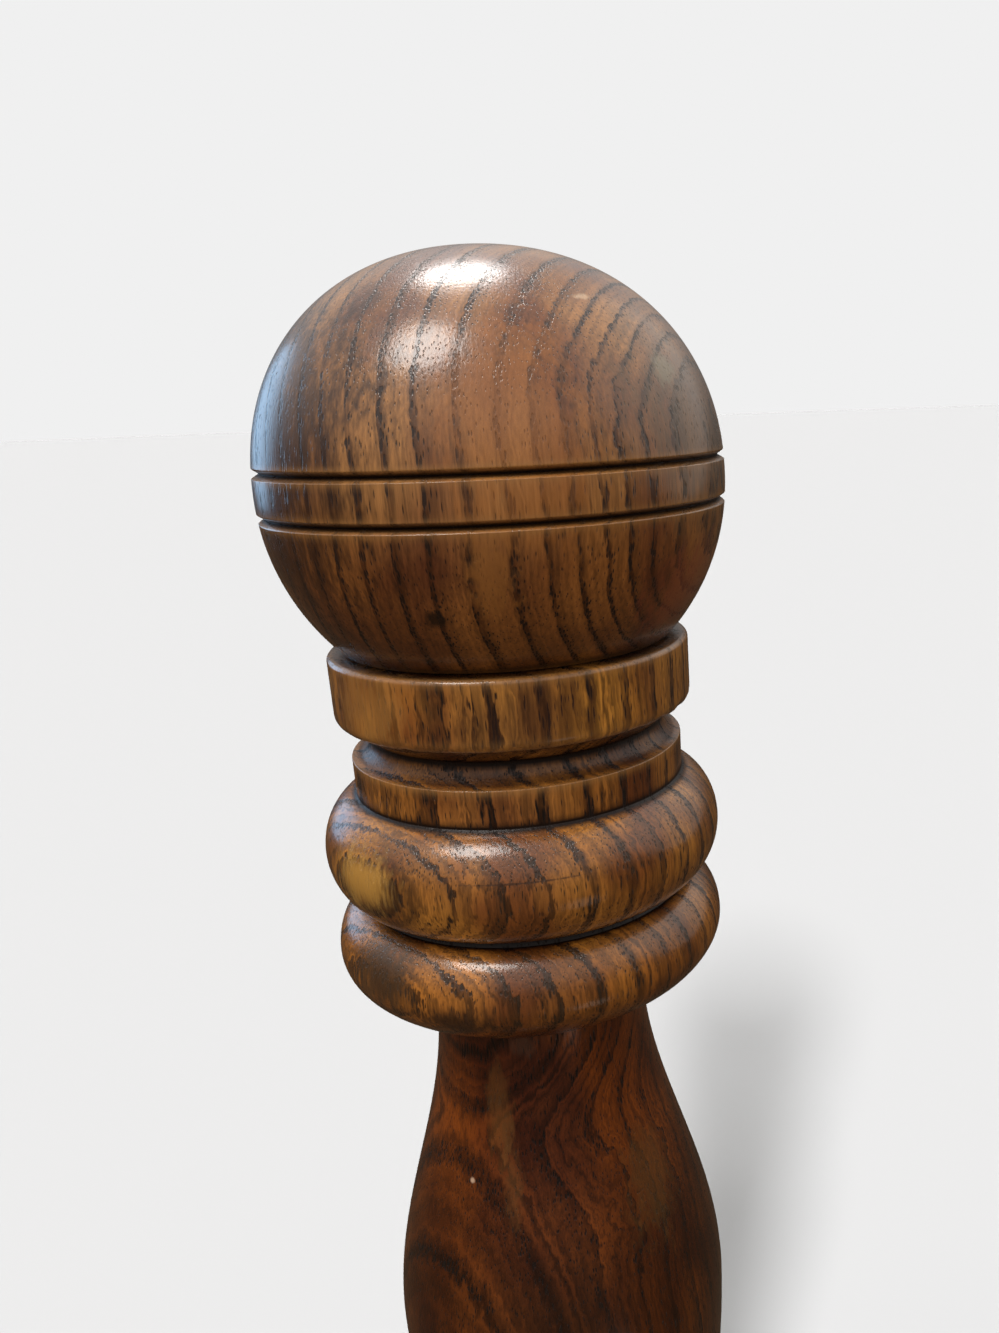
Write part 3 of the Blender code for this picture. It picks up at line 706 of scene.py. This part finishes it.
pitch, yaw, roll = (math.radians(a) for a in (CAMERA_PITCH, CAMERA_YAW, CAMERA_ROLL))
ahead = Vector((math.sin(yaw) * math.cos(pitch), math.cos(yaw) * math.cos(pitch), -math.sin(pitch)))
level_right = Vector((math.cos(yaw), -math.sin(yaw), 0))
level_up = level_right.cross(ahead)
right = level_right * math.cos(roll) + level_up * math.sin(roll)
up = level_up * math.cos(roll) - level_right * math.sin(roll)
camera_data = bpy.data.cameras.new("photograph")
camera_data.sensor_width = SENSOR
camera_data.sensor_fit = "AUTO"
camera_data.lens = FOCAL_PIXELS / IMAGE_HEIGHT * SENSOR
camera_data.shift_x = (IMAGE_WIDTH / 2 - AXIS_PIXEL_X) / IMAGE_HEIGHT
camera_data.shift_y = (AXIS_PIXEL_Y - IMAGE_HEIGHT / 2) / IMAGE_HEIGHT
camera_data.clip_start = 0.01
camera = bpy.data.objects.new("photograph", camera_data)
bpy.context.scene.collection.objects.link(camera)
camera_place = Vector((0, -CAMERA_DISTANCE, POST_TOP + CAMERA_ABOVE_JOINT)) * MM
turned = Matrix((right, up, -ahead)).transposed().to_4x4()
camera.matrix_world = Matrix.Translation(camera_place) @ turned
bpy.context.scene.camera = camera

# Studio: a wide pale floor of matt paper with a pale lit wall far round it. Both are kept out of the
# varnish's reflections, which show the soft room and its windows instead. Sizes here are in metres.
FLOOR_HALF = 60.0
WALL_AWAY = 55.0
WALL_FOOT = -1.0
WALL_HIGH = 60.0
WALL_STEP_DEGREES = 5

floor_mesh = bpy.data.meshes.new("studio_floor")
corners = [(x * FLOOR_HALF, y * FLOOR_HALF, 0) for x, y in ((-1, -1), (1, -1), (1, 1), (-1, 1))]
floor_mesh.from_pydata(corners, [], [(0, 1, 2, 3)])
floor = bpy.data.objects.new("studio_floor", floor_mesh)
floor_group = bpy.data.collections.new("floor")
bpy.context.scene.collection.children.link(floor_group)
floor_group.objects.link(floor)
floor.visible_glossy = False
floor.visible_diffuse = False
paper = bpy.data.materials.new("matt_grey_paper")
paper.use_nodes = True
shader = paper.node_tree.nodes["Principled BSDF"]
shader.inputs["Base Color"].default_value = (0.2225, 0.223, 0.2245, 1.0)
shader.inputs["Roughness"].default_value = 0.9
shader.inputs["Specular IOR Level"].default_value = 0.0
floor_mesh.materials.append(paper)

wall_mesh = bpy.data.meshes.new("studio_wall")
round_wall = [math.radians(a) for a in range(0, 360, WALL_STEP_DEGREES)]
wall_points = []
for z in (WALL_FOOT, WALL_HIGH):
    wall_points += [(WALL_AWAY * math.cos(a), WALL_AWAY * math.sin(a), z) for a in round_wall]
sides = len(round_wall)
wall_faces = [(i, (i + 1) % sides, sides + (i + 1) % sides, sides + i) for i in range(sides)]
wall_mesh.from_pydata(wall_points, [], wall_faces)
wall = bpy.data.objects.new("studio_wall", wall_mesh)
bpy.context.scene.collection.objects.link(wall)
wall.visible_glossy = False
wall.visible_diffuse = False
wall.visible_shadow = False
lit_wall = bpy.data.materials.new("lit_pale_wall")
lit_wall.use_nodes = True
shader = lit_wall.node_tree.nodes["Principled BSDF"]
shader.inputs["Base Color"].default_value = (0, 0, 0, 1)
shader.inputs["Specular IOR Level"].default_value = 0.0
shader.inputs["Emission Color"].default_value = linear("#f0f0f0")
shader.inputs["Emission Strength"].default_value = 1.0
wall_mesh.materials.append(lit_wall)


def daylight(name, azimuth, elevation, power, spread, colour):
    """Light from far away, from a direction as seen from the object; azimuth 0 is where the camera stands."""
    data = bpy.data.lights.new(name, "SUN")
    data.energy = power
    data.angle = math.radians(spread)
    data.color = colour
    light = bpy.data.objects.new(name, data)
    turn, rise = math.radians(azimuth), math.radians(elevation)
    level = math.cos(rise)
    source = Vector((math.sin(turn) * level, -math.cos(turn) * level, math.sin(rise)))
    light.rotation_euler = source.to_track_quat("Z", "Y").to_euler()
    bpy.context.scene.collection.objects.link(light)
    return light


# Windows high behind and high on the left give the ball its two highlights, and one low behind on the
# left gives it its blue rim. A soft light from the front fills in.
daylight("window_behind", azimuth=-171, elevation=61, power=1.1, spread=18, colour=(1.0, 0.98, 0.95))
daylight("window_left", azimuth=-55, elevation=62, power=1.5, spread=24, colour=(1.0, 0.97, 0.93))
daylight("blue_window", azimuth=-139, elevation=9, power=0.35, spread=28, colour=(0.4, 0.68, 1.0))
daylight("pale_room", azimuth=100, elevation=30, power=0.5, spread=75, colour=(1.0, 0.98, 0.93))
soft_front = daylight(
    "soft_front", azimuth=-22, elevation=14, power=0.95, spread=110, colour=(1.0, 0.93, 0.84)
)
soft_front.visible_glossy = False

# The floor has a light of its own for the soft shadow, and throws a little light back up on the post
floor_light = daylight(
    "floor_light", azimuth=-16.5, elevation=38, power=12.0, spread=11, colour=(1.0, 1.0, 1.0)
)
floor_light.light_linking.receiver_collection = floor_group
floor_glow = daylight(
    "floor_glow", azimuth=29, elevation=-38, power=0.045, spread=16, colour=(1.0, 0.96, 0.9)
)
glow_group = bpy.data.collections.new("glow_on_post")
glow_group.objects.link(post)
floor_glow.light_linking.receiver_collection = glow_group

# The room's soft light, from straight below to straight above: a warm dim floor, dark low walls and
# a pale ceiling
ROOM = [
    (0.0, (0.06, 0.04, 0.025, 1)),
    (0.45, (0.06, 0.04, 0.025, 1)),
    (0.56, (0.14, 0.135, 0.13, 1)),
    (0.76, (0.62, 0.61, 0.6, 1)),
    (1.0, (0.6, 0.6, 0.6, 1)),
]
world = bpy.data.worlds.new("soft_room")
bpy.context.scene.world = world
world.use_nodes = True
tree = world.node_tree
direction = add_node(tree, "TexCoord", {}, "Generated")
rise = add_node(tree, "SeparateXYZ", {0: direction}, 2)
rise = add_node(tree, "Math", {0: rise, 1: 0.5, 2: 0.5}, operation="MULTIPLY_ADD")
room = add_node(tree, "ValToRGB", {0: rise}, stops=ROOM)
tree.links.new(room, tree.nodes["Background"].inputs["Color"])
bpy.context.scene.view_settings.view_transform = "Standard"
